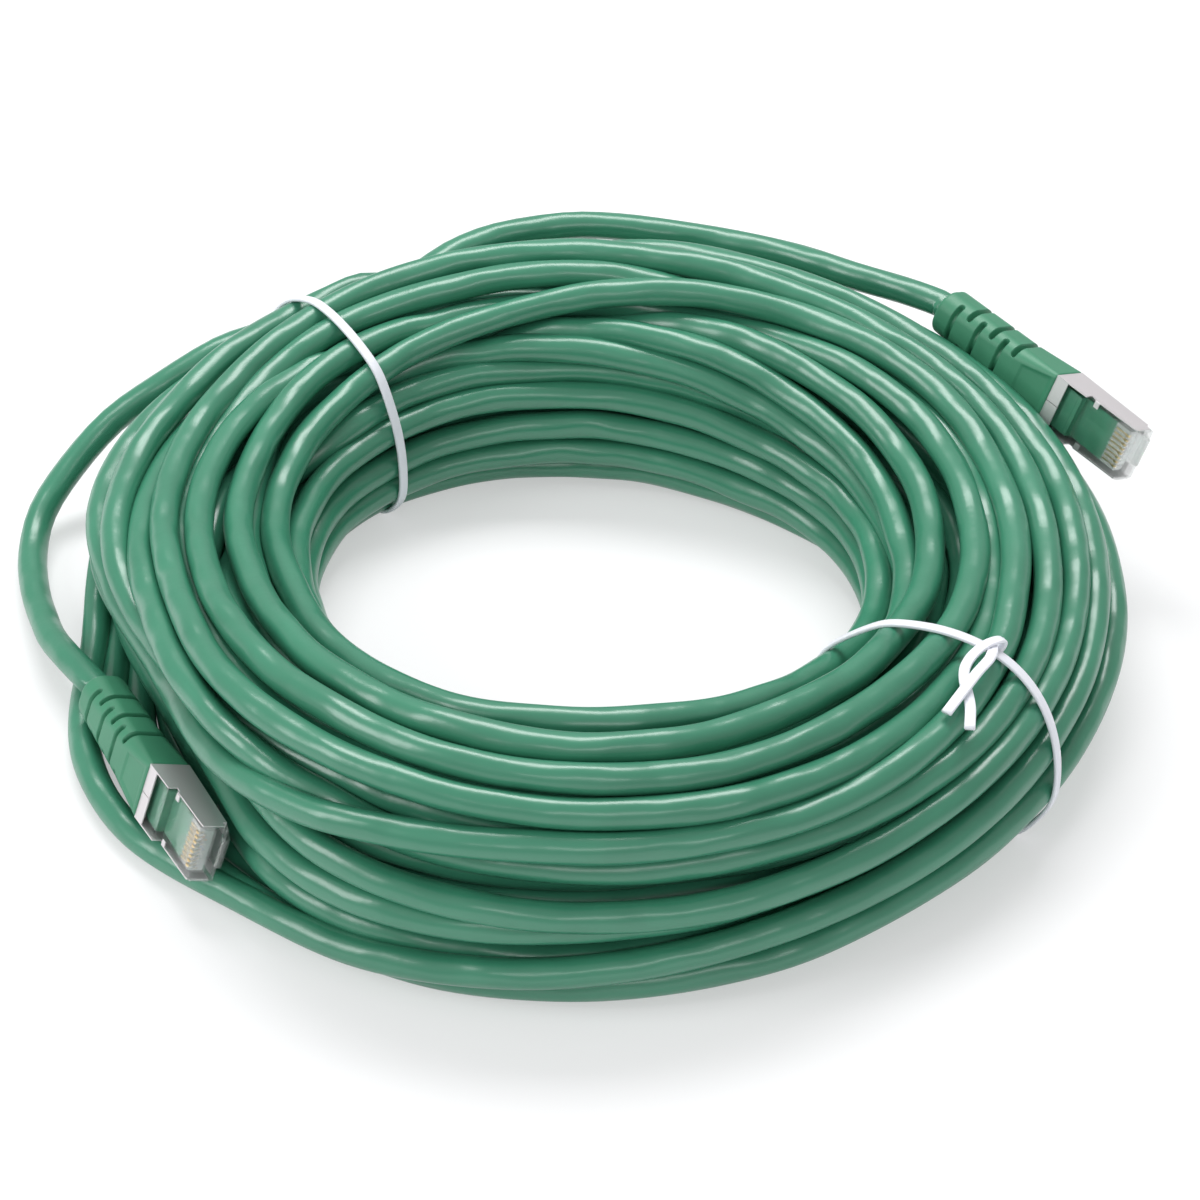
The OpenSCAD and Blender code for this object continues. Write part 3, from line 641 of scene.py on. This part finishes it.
# bearing of each tie, and how many degrees it leans along the coil towards the knot
ties = {"tie_left": (130, 0), "tie_right": (327, 2.4)}
TIE_CLEAR = 0.1                 # between the strip and the turns
LEAN_AT, LEAN_OVER = 60, 38     # degrees round the section: where it leans most, and how fast that fades
OFF_FLOOR = 0.6                 # least height of its middle, in thicknesses
tie_paths = {}
for name, (at, lean) in ties.items():
    low, high = section_at(at), section_at(at + lean)
    middle = (low.min(0) + low.max(0)) / 2
    clear = TIE_CLEAR + TIE_THICK / 2
    around = np.linspace(-np.pi, np.pi, TIE_STEPS, endpoint=False)
    share = np.exp(-0.5 * ((around - np.radians(LEAN_AT)) / np.radians(LEAN_OVER)) ** 2)
    reach = wrap_round(low, clear, middle) * (1 - share) + wrap_round(high, clear, middle) * share
    direction = np.stack([np.cos(around), np.sin(around)], 1)
    tie_bearing = at + lean * share
    r, z = (middle + reach[:, None] * direction).T
    path = in_space(tie_bearing, r, np.maximum(z, TIE_THICK * OFF_FLOOR))
    inward = in_space(tie_bearing, *np.broadcast_to(middle, direction.shape).T)
    tie_paths[name] = (path, path - inward)

# The knot, as it lies beside its strip. The loop strand comes over the strip,
# swings back and ends in the long tail; the short tail lies across it.
KNOT_RADIUS, KNOT_ABOVE = 86.3, 25      # on the strip, this far from the coil's middle and this high
STRAND_STEPS = 6
path = tie_paths["tie_right"][0]
off_knot = np.abs(np.hypot(path[:, 0], path[:, 1]) - KNOT_RADIUS)
knot_at = path[np.argmin(np.where(path[:, 2] < KNOT_ABOVE, np.inf, off_knot))]
loop_strand = np.array([
    (0.9, -0.2, -0.5), (1.8, 0.9, -0.6), (2.5, 1.6, -0.1), (2.5, 1.5, 0.9), (1.7, 0.9, 1.5),
    (0.5, 0.2, 1.65), (-0.8, -0.6, 1.6), (-2.3, -1.8, 1.3), (-4.0, -3.9, 1.0), (-5.2, -6.6, 0.7),
    (-5.5, -9.7, 0.4), (-5.2, -13.2, 0.3), (-5.1, -17.2, 0.2), (-5.7, -22.6, 0.1)])
tail_strand = np.array([
    (0.4, 0.2, 0.9), (0.4, -1.4, 0.9), (-0.1, -3.6, 1.5), (-1.0, -5.8, 1.9), (-3.4, -9.6, 2.1),
    (-6.4, -14.2, 1.5), (-9.6, -19.2, 0.9)])
turning_over = [(0, 0, -1), (0.3, 0.5, -1), (1, 0.7, -0.2), (0.8, 0.6, 1), (0.2, 0.2, 1)]
lying_flat = [(0, 0, 1)]
loop_facing = np.array(turning_over + lying_flat * (len(loop_strand) - len(turning_over)), dtype=float)
tail_facing = np.array(lying_flat * len(tail_strand), dtype=float)

for name, (path, facing) in tie_paths.items():
    corners, faces = strip_of(path, facing, True)
    if name == "tie_right":
        for strand, looks in ((loop_strand, loop_facing), (tail_strand, tail_facing)):
            more, more_faces = strip_of(smooth_run(knot_at + strand, STRAND_STEPS),
                                        smooth_run(looks, STRAND_STEPS), False, len(corners))
            corners, faces = np.concatenate([corners, more]), faces + more_faces
    strip = add_mesh(name + "_strip", corners, faces)
    strip.data.materials.append(tie_white)
    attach(strip, "cable")
    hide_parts(name)

# ---------------------------------------------------------------- boots
# Soft PVC moulded straight over the crimped plug and the cable's end, boxy at
# the plug and round at its tail. Slots from its four faces in turn let it bend.
BOOT_LEN = 33.5
BOOT_AT = (0, 11, 32.9)             # places along the boot, from the plug
BOOT_WIDE = (12, 10.6, 9.8)         # its width, height and corner radius there
BOOT_HIGH = (8.5, 9.3, 9.4)
BOOT_CORNER = (1, 2.8, 4)
FRONT_ROUND, TAIL_ROUND = 0.12, 0.8     # how far its front and tail edges are rounded
LEAST_CORNER = 0.3
ARC_STEPS, SIDE_STEPS = 40, 24          # points round a corner, and along a side

# radius, bearing and height of each plug, and its turn about x, y and z
plug_places = {"a": (94.4, 214, 11.8, (68, -3.3, -64.3)), "b": (105.2, 23.2, 34.4, (70, 7, -52.5))}


def plug_turn(letter):
    """where a plug is, and its turn as a matrix"""
    r, at, z, turn = plug_places[letter]
    spin = Euler([np.radians(v) for v in turn]).to_matrix()
    return np.array(in_space(at, r, z)), np.array(spin)


def soft_step(low, high, value):
    """0 up to low, 1 from high, and soft between them"""
    t = np.clip((value - low) / (high - low), 0, 1)
    return t * t * (3 - 2 * t)


def boot_ring(x, inset):
    """the boot's outline at a place, a rounded rectangle"""
    w, h, r = (np.interp(-x, BOOT_AT, row) for row in (BOOT_WIDE, BOOT_HIGH, BOOT_CORNER))
    w, h, r = w / 2 - inset, h / 2 - inset, max(r - inset, LEAST_CORNER)
    between = (np.arange(1, SIDE_STEPS + 1) / (SIDE_STEPS + 1))[:, None]
    corners = []
    for quarter, (sy, sz) in enumerate(((1, 1), (-1, 1), (-1, -1), (1, -1))):
        t = np.radians(quarter * 90 + np.linspace(0, 90, ARC_STEPS))
        corners.append(np.stack([sy * (w - r) + r * np.cos(t), sz * (h - r) + r * np.sin(t)], 1))
    points = []
    for corner, following in zip(corners, corners[1:] + corners[:1]):
        points += [corner, corner[-1] + (following[0] - corner[-1]) * between]
    return np.concatenate(points)


# rings of corners along the boot, as place and inset, close together where the slots are
FRONT_RINGS = (0, -0.05, -0.12, -0.2)
rings = [(x, FRONT_ROUND * (1 - soft_step(0, -FRONT_RINGS[-1], -x))) for x in FRONT_RINGS]
for first, last, step in ((-0.5, -9.4, -0.3), (-9.6, -30.4, -0.11), (-30.6, -32.6, -0.3)):
    rings += [(x, 0) for x in np.arange(first, last, step)]
for t in np.radians(np.arange(0, 91, 15)):
    rings.append((TAIL_ROUND - BOOT_LEN - TAIL_ROUND * np.sin(t), TAIL_ROUND * (1 - np.cos(t))))

SLOT_FIRST, SLOT_PITCH = -11.5, 6.8
SLOTS = 3                       # on each face
SLOT_HALF = 0.6                 # half a slot's width
SLOT_REACH = 49                 # degrees that a slot goes to each side of the middle of its face
SLOT_ROUND = 4.9                # radius at which its ends are drawn
SLOT_FLOOR = 3.85               # radius of its floor
LIP_OUT, LIP_IN = 0.12, -0.1    # a slot's edge is soft between these distances
slots = []
for face in (0, 90, 180, 270):
    stagger = 0.5 if face % 180 else 0
    slots += [(face, SLOT_FIRST - SLOT_PITCH * (i + stagger)) for i in range(SLOTS)]

# small dips in the floors of two slots: face, place, and degrees off the face's middle
dips = [(90, -21.7, 38), (90, -21.7, -38), (0, -11.5, 43), (0, -11.5, -43)]
DIP_DEEP, DIP_OUT, DIP_IN = 0.7, 0.36, 0.2

# a sunk panel on the upper face, from its back to its front, wider towards the plug
PANEL_BACK, PANEL_FRONT = -8.6, -1
PANEL_HALF, PANEL_FLARE = 2.9, 0.21
PANEL_DEEP, PANEL_LIP = 0.22, 0.16

# the bore, as place and radius: round the cable, and wider round the crimp barrel
BORE = ((-BOOT_LEN, 2.97), (-BOOT_LEN + 0.4, 2.95), (-8.6, 2.95), (-8.6, 3.55), (-0.05, 3.55))


def boot_corners():
    """rings of corners along the outside of the boot and back through its bore"""
    rows = []
    for x, inset in rings:
        y, z = boot_ring(x, inset).T
        far, angle = np.hypot(y, z), np.degrees(np.arctan2(z, y))
        cut = np.zeros(len(y))
        for face, at in slots:
            off = np.radians(np.abs((angle - face + 180) % 360 - 180))
            past_end = np.clip(off - np.radians(SLOT_REACH), 0, None) * SLOT_ROUND
            cut = np.maximum(cut, soft_step(LIP_OUT, LIP_IN, np.hypot(past_end, x - at) - SLOT_HALF))
        new = far + (SLOT_FLOOR - far) * cut
        for face, at, off in dips:
            away = np.radians((angle - face - off + 180) % 360 - 180) * SLOT_FLOOR
            new = new - DIP_DEEP * soft_step(DIP_OUT, DIP_IN, np.hypot(away, x - at))
        y, z = y * new / far, z * new / far
        side = PANEL_HALF + (x - PANEL_BACK) * PANEL_FLARE
        inside = np.minimum(side - np.abs(y), min(x - PANEL_BACK, PANEL_FRONT - x))
        panel = soft_step(0, PANEL_LIP, inside) * (z > 0)
        rows.append(np.stack([np.full(len(y), x), y, z - PANEL_DEEP * panel], 1))
    round_it = np.arctan2(rows[0][:, 2], rows[0][:, 1])
    for x, r in BORE:
        rows.append(np.stack([np.full(len(round_it), x), r * np.cos(round_it), r * np.sin(round_it)], 1))
    return np.array(rows)


boot_rows = boot_corners()
boot_faces = ring_faces(*boot_rows.shape[:2], True)


def plug_space(tree, letter, stretch=(1, 1, 1)):
    """places measured in the plug's own directions: along it, across it, through it"""
    where = add(tree, "TexCoord")
    euler = [np.radians(v) for v in plug_places[letter][3]]
    settings = {"vector_type": "TEXTURE", "Location": (plug_turn(letter)[0] * MM).tolist(), "Rotation": euler,
                "Scale": stretch}
    return add(tree, "Mapping", settings, {"Vector": where.outputs["Object"]}).outputs["Vector"]


# Moulded soft PVC: satin, lighter than the jacket, with the fine grain of an
# eroded mould. The grain is 0.1 mm, drawn at 0.4 mm so that it shows.
boot_pvc, tree, shader = finish_named("moulded_soft_pvc", {"Roughness": 0.46, "IOR": 1.53})
mottle(tree, shader, 120, "#357a5c", "#3f8868")
roughen(tree, shader, 2500, 0.25, 0.00006)

for letter in "ab":
    at, spin = plug_turn(letter)
    boot = add_mesh("boot_" + letter + "_moulding", at + boot_rows.reshape(-1, 3) @ spin.T, boot_faces)
    boot.data.materials.append(boot_pvc)
    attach(boot, "cable")
    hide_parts("boot_" + letter)

# ---------------------------------------------------------------- shields
# A nickel-plated shell, stamped and folded round the housing, with a seam
# behind its window and a barrel crimped on the braid.


def dress(node, material):
    """put the material on a solid that stays as it is"""
    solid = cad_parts[node]
    for slot in solid.material_slots:
        slot.material = material
    if not solid.material_slots:
        solid.data.materials.append(material)


for letter in "ab":
    # Nickel over rolled sheet: pale and satin, with faint rolling lines along
    # it, 0.6 mm apart.
    nickel, tree, shader = finish_named("nickel_plated_sheet_" + letter, {
        "Base Color": linear("#dcd8da"), "Metallic": 0.68})
    stretched = plug_space(tree, letter, (14, 1, 1))
    lines = add(tree, "TexNoise", {"Scale": 1800, "Detail": 3}, {"Vector": stretched})
    haze = add(tree, "ValToRGB", {}, {"Fac": lines.outputs["Fac"]})
    haze.color_ramp.elements[0].color = (0.38, 0.38, 0.38, 1)
    haze.color_ramp.elements[1].color = (0.5, 0.5, 0.5, 1)
    relief = add(tree, "Bump", {"Strength": 0.08, "Distance": 0.00002}, {"Height": lines.outputs["Fac"]})
    tree.links.new(haze.outputs["Color"], shader.inputs["Roughness"])
    tree.links.new(relief.outputs["Normal"], shader.inputs["Normal"])
    dress("shield_" + letter, nickel)

# ---------------------------------------------------------------- housings and latches
# Clear polycarbonate, injection moulded. The housing holds the wires and the
# contacts; the latch is a lever that springs on its root at the nose.
RIBS_FROM, RIBS_TO = 13.5 * MM, 17.5 * MM   # along the plug, where the comb ribs come in
for letter in "ab":
    # Clear resin: crisp where it lies over the filling, whiter towards the nose,
    # where the comb ribs between the contacts scatter the light. Its flow marks
    # are 4 mm.
    clear, tree, shader = finish_named("clear_polycarbonate_" + letter, {
        "Base Color": linear("#f6fbfa"), "Roughness": 0.03, "IOR": 1.585})
    along = add(tree, "SeparateXYZ", {}, {"Vector": plug_space(tree, letter)})
    for socket, behind, at_nose in (("Transmission Weight", 0.99, 0.8), ("Alpha", 0.24, 0.42)):
        settings = {"From Min": RIBS_FROM, "From Max": RIBS_TO, "To Min": behind, "To Max": at_nose}
        fade = add(tree, "MapRange", settings, {"Value": along.outputs["X"]})
        tree.links.new(fade.outputs["Result"], shader.inputs[socket])
    roughen(tree, shader, 260, 0.12, 0.0002)
    dress("housing_" + letter, clear)

# The lever is bare on both sides, so its edges and faces catch more light.
lever, tree, shader = finish_named("clear_polycarbonate_lever", {
    "Base Color": linear("#f2f8f6"), "Roughness": 0.06, "IOR": 1.585, "Transmission Weight": 0.82,
    "Alpha": 0.72})
roughen(tree, shader, 260, 0.12, 0.0002)
for letter in "ab":
    dress("latch_" + letter, lever)

# ---------------------------------------------------------------- contacts
# Eight blades stamped from bronze with a gold flash, pressed down through the
# slots of the housing until their teeth meet the wires.

# Gold flash: pale and bright, a little duller in spots of 0.7 mm.
gold, tree, shader = finish_named("gold_flashed_bronze", {"Metallic": 1, "Roughness": 0.3})
mottle(tree, shader, 1500, "#cfae70", "#f6e6bf")
for letter in "ab":
    dress("contacts_" + letter, gold)

# ---------------------------------------------------------------- load bars
# The comb that lines the wires up under the blades: a small block moulded from
# natural polycarbonate, slid over the wires and then into the housing.

# Natural resin: a little cloudy, with flow marks of 2 mm.
cloudy, tree, shader = finish_named("natural_polycarbonate", {
    "Base Color": linear("#f1f4f3"), "Roughness": 0.2, "IOR": 1.585, "Transmission Weight": 0.4,
    "Alpha": 0.8})
roughen(tree, shader, 500, 0.2, 0.0001)
for letter in "ab":
    dress("load_bar_" + letter, cloudy)

# ---------------------------------------------------------------- inner mouldings
# The boot's soft PVC, which also fills the housing round the wires when the
# boot is moulded, so the window looks green.

# Soft PVC under clear resin: matt, with a colour that drifts over 3 mm.
filling, tree, shader = finish_named("pvc_filling", {"Roughness": 0.5, "IOR": 1.53})
mottle(tree, shader, 300, "#2d7556", "#3f9070")
for letter in "ab":
    dress("inner_mould_" + letter, filling)

# ---------------------------------------------------------------- wires
# Four twisted pairs in foamed polyolefin, fanned out into the comb. One wire of
# each pair has its colour, the other is white with stripes of it, 2 mm apart.
WIRE_PITCH = 1.02
# each pair's colour, a line across the plug, and on which side of it the striped wire lies
pair_colours = {
    "orange": ("#d9641f", 3 * WIRE_PITCH, "GREATER_THAN"), "green": ("#2c8a4a", 0, "GREATER_THAN"),
    "blue": ("#2a4fb4", 0, "LESS_THAN"), "brown": ("#7a4a2a", -3 * WIRE_PITCH, "GREATER_THAN")}
for letter in "ab":
    for colour, (shade, border, side) in pair_colours.items():
        name = "polyolefin_" + colour + "_" + letter
        wire, tree, shader = finish_named(name, {"Roughness": 0.4, "IOR": 1.5})
        in_plug = plug_space(tree, letter)
        across = add(tree, "SeparateXYZ", {}, {"Vector": in_plug})
        striped = add(tree, "Math", {"operation": side, 1: border * MM}, {0: across.outputs["Y"]})
        stripe = add(tree, "TexWave", {"bands_direction": "X", "Scale": 160, "Distortion": 0.4},
                     {"Vector": in_plug})
        band = add(tree, "ValToRGB", {}, {"Fac": stripe.outputs["Fac"]})
        band.color_ramp.elements[0].position = 0.2
        band.color_ramp.elements[1].position = 0.3
        band.color_ramp.elements[0].color = linear(shade)
        band.color_ramp.elements[1].color = linear("#eceae4")
        mix = add(tree, "Mix", {"data_type": "RGBA", 6: linear(shade)},
                  {0: striped.outputs[0], 7: band.outputs["Color"]})
        tree.links.new(mix.outputs[2], shader.inputs["Base Color"])
        dress("pair_" + colour + "_" + letter, wire)

# ---------------------------------------------------------------- foils, braid and cable end
# Inside the boot the jacket is stripped. Each pair has a wrap of laminated
# foil, and the tinned braid is folded back under the crimp.

# Laminated foil: bright, with creases 1 mm apart.
foil, tree, shader = finish_named("laminated_aluminium_foil", {
    "Base Color": linear("#d6d7d9"), "Metallic": 1, "Roughness": 0.28})
where = add(tree, "TexCoord")
creases = add(tree, "TexVoronoi", {"feature": "DISTANCE_TO_EDGE", "Scale": 900},
              {"Vector": where.outputs["Object"]})
relief = add(tree, "Bump", {"Strength": 0.5, "Distance": 0.00008}, {"Height": creases.outputs["Distance"]})
tree.links.new(relief.outputs["Normal"], shader.inputs["Normal"])
for letter in "ab":
    dress("pair_foils_" + letter, foil)
    dress("cable_end_" + letter, jacket_pvc)
    # Tinned copper: wires of 0.1 mm in crossing bundles, which are drawn 1.4 mm
    # apart, with painted shade, a dark copper brown, in the gaps between them.
    woven, tree, shader = finish_named("tinned_copper_braid_" + letter, {"Metallic": 1, "Roughness": 0.35})
    along = plug_space(tree, letter)
    over = add(tree, "TexWave", {"bands_direction": "DIAGONAL", "Scale": 260}, {"Vector": along})
    turned = add(tree, "Mapping", {"Rotation": (0, 0, np.pi / 2)}, {"Vector": along})
    under = add(tree, "TexWave", {"bands_direction": "DIAGONAL", "Scale": 260},
                {"Vector": turned.outputs["Vector"]})
    weave_and_gap_shade = add(tree, "Math", {"operation": "MAXIMUM"}, {0: over.outputs["Fac"], 1: under.outputs["Fac"]})
    # the dark end of this ramp is painted shade in the gaps between the bundles; the pale end is the tin
    tone = add(tree, "ValToRGB", {}, {"Fac": weave_and_gap_shade.outputs[0]})
    tone.color_ramp.elements[0].color = linear("#7d5a44")
    tone.color_ramp.elements[1].color = linear("#d2c1b4")
    relief = add(tree, "Bump", {"Strength": 0.5, "Distance": 0.0001}, {"Height": weave_and_gap_shade.outputs[0]})
    tree.links.new(tone.outputs["Color"], shader.inputs["Base Color"])
    tree.links.new(relief.outputs["Normal"], shader.inputs["Normal"])
    dress("braid_" + letter, woven)

# ---------------------------------------------------------------- floor and light
# A white studio sweep: a plain pale floor, with soft light from above, from the
# left and, fainter, from the front. To the eye the floor is near white.
FLOOR_HALF = 6              # metres
FLOOR_DROP = 0.0002         # just under the turns that lie on it
OWN_WHITE = 0.45            # share of plain white in the floor that is seen
floor_corners = [(-FLOOR_HALF, -FLOOR_HALF, -FLOOR_DROP), (FLOOR_HALF, -FLOOR_HALF, -FLOOR_DROP),
                 (FLOOR_HALF, FLOOR_HALF, -FLOOR_DROP), (-FLOOR_HALF, FLOOR_HALF, -FLOOR_DROP)]
floor_mesh = bpy.data.meshes.new("floor")
floor_mesh.from_pydata(floor_corners, [], [(0, 1, 2, 3)])
floor = bpy.data.objects.new("floor", floor_mesh)
bpy.context.scene.collection.objects.link(floor)
sweep = bpy.data.materials.new("white_sweep")
sweep.use_nodes = True
tree = sweep.node_tree
tree.nodes.clear()
matt = add(tree, "BsdfDiffuse", {"Color": linear("#f4f4f6")})
white = add(tree, "Emission", {"Color": linear("#ffffff"), "Strength": 1})
light_path = add(tree, "LightPath")
seen = light_path.outputs["Is Camera Ray"]
for ray in ("Is Glossy Ray", "Is Transmission Ray"):
    seen = add(tree, "Math", {"operation": "MAXIMUM"}, {0: seen, 1: light_path.outputs[ray]}).outputs[0]
part = add(tree, "Math", {"operation": "MULTIPLY", 1: OWN_WHITE}, {0: seen})
both = add(tree, "MixShader", {}, {0: part.outputs[0], 1: matt.outputs["BSDF"], 2: white.outputs["Emission"]})
add(tree, "OutputMaterial", {}, {"Surface": both.outputs["Shader"]})
floor.data.materials.append(sweep)

world = bpy.data.worlds.new("studio")
bpy.context.scene.world = world
world.use_nodes = True
tree = world.node_tree
tree.nodes.clear()
sky = add(tree, "Background", {"Color": linear("#ffffff"), "Strength": 0.5})
add(tree, "OutputWorld", {}, {"Surface": sky.outputs["Background"]})


def add_lamp(name, at, size, power):
    """a soft box that looks at the coil, with its place and size in metres"""
    lamp = bpy.data.lights.new(name, "AREA")
    lamp.shape = "RECTANGLE"
    lamp.size, lamp.size_y = size
    lamp.energy = power
    piece = bpy.data.objects.new(name, lamp)
    piece.location = at
    piece.rotation_mode = "QUATERNION"
    piece.rotation_quaternion = (-Vector(at)).to_track_quat("-Z", "Y")
    bpy.context.scene.collection.objects.link(piece)


add_lamp("top_box", (0, 0.45, 0.9), (0.8, 0.35), 8.5)
add_lamp("left_box", (-0.9, -0.3, 0.6), (0.4, 0.6), 4.8)
add_lamp("front_box", (0.15, -1.0, 0.75), (1.0, 0.12), 2.4)
bpy.context.scene.view_settings.view_transform = "Standard"
